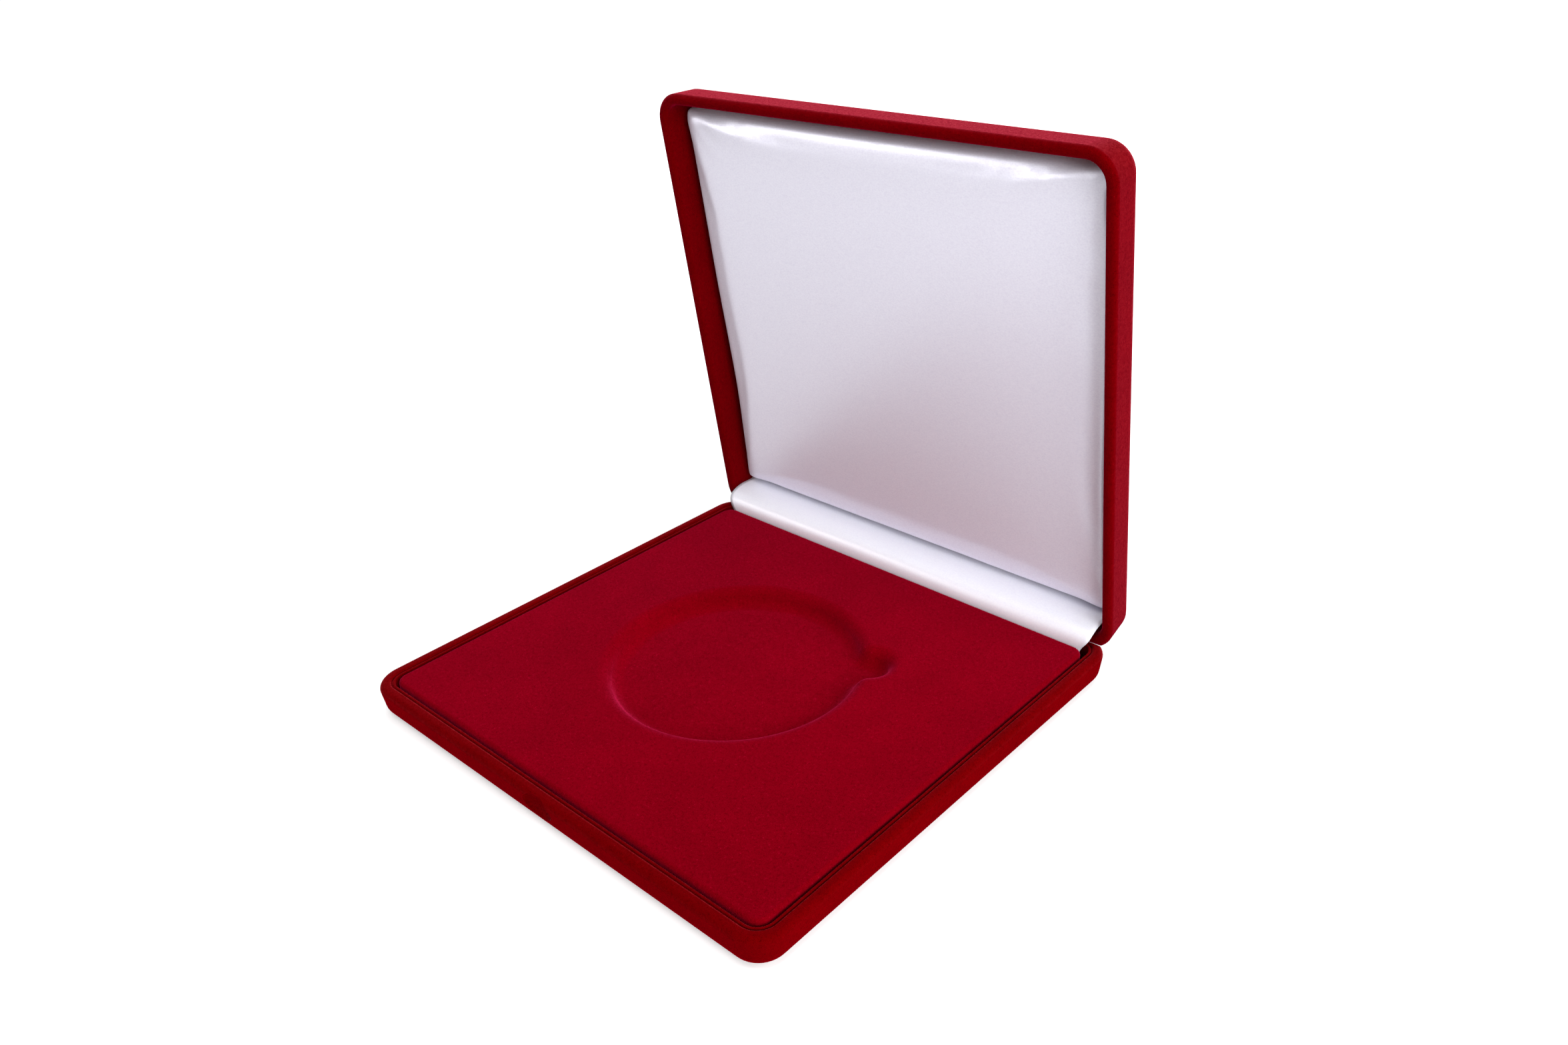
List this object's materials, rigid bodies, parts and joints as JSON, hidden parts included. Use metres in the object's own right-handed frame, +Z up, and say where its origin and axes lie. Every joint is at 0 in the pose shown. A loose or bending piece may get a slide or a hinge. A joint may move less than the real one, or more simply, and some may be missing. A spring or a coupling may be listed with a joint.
{
  "type": "medal case",
  "caption": "Hinged flocked presentation case standing open: base with a round medal recess and finger notch, lid with a satin pad, ribbon over the hinge.",
  "frame": {"origin": "centre of the underside of the base", "axes": "+X along the hinge, +Y from the front to the hinge, +Z up"},
  "size_m": [0.1398, 0.1414, 0.1378],
  "materials": {
    "flocked_shell": "dark red flock",
    "flocked_tray": "dark red flock",
    "satin": "white satin",
    "ribbon": "white satin ribbon",
    "foam": "soft foam",
    "card": "grey board",
    "hinge_steel": "plated steel"
  },
  "bodies": {
    "base": {"base_shell": "flocked_shell", "insert_tray": "flocked_tray", "hinge_base_leaf": "hinge_steel", "base_rivets": "hinge_steel", "hinge_pin": "hinge_steel", "snap_spring": "hinge_steel", "hinge_cover": "ribbon"},
    "lid": {"lid_shell": "flocked_shell", "hinge_lid_leaf": "hinge_steel", "lid_rivets": "hinge_steel", "lid_pad_card": "card", "lid_pad_foam": "foam", "lid_pad_satin": "satin"}
  },
  "joints": [
    {"name": "lid_hinge", "type": "hinge", "parent": "base", "child": "lid", "pos_m": [0, 0.06325, 0.0093], "axis": [1, 0, 0], "range_deg": [0, 83], "deforming": ["hinge_cover", "snap_spring"]}
  ]
}
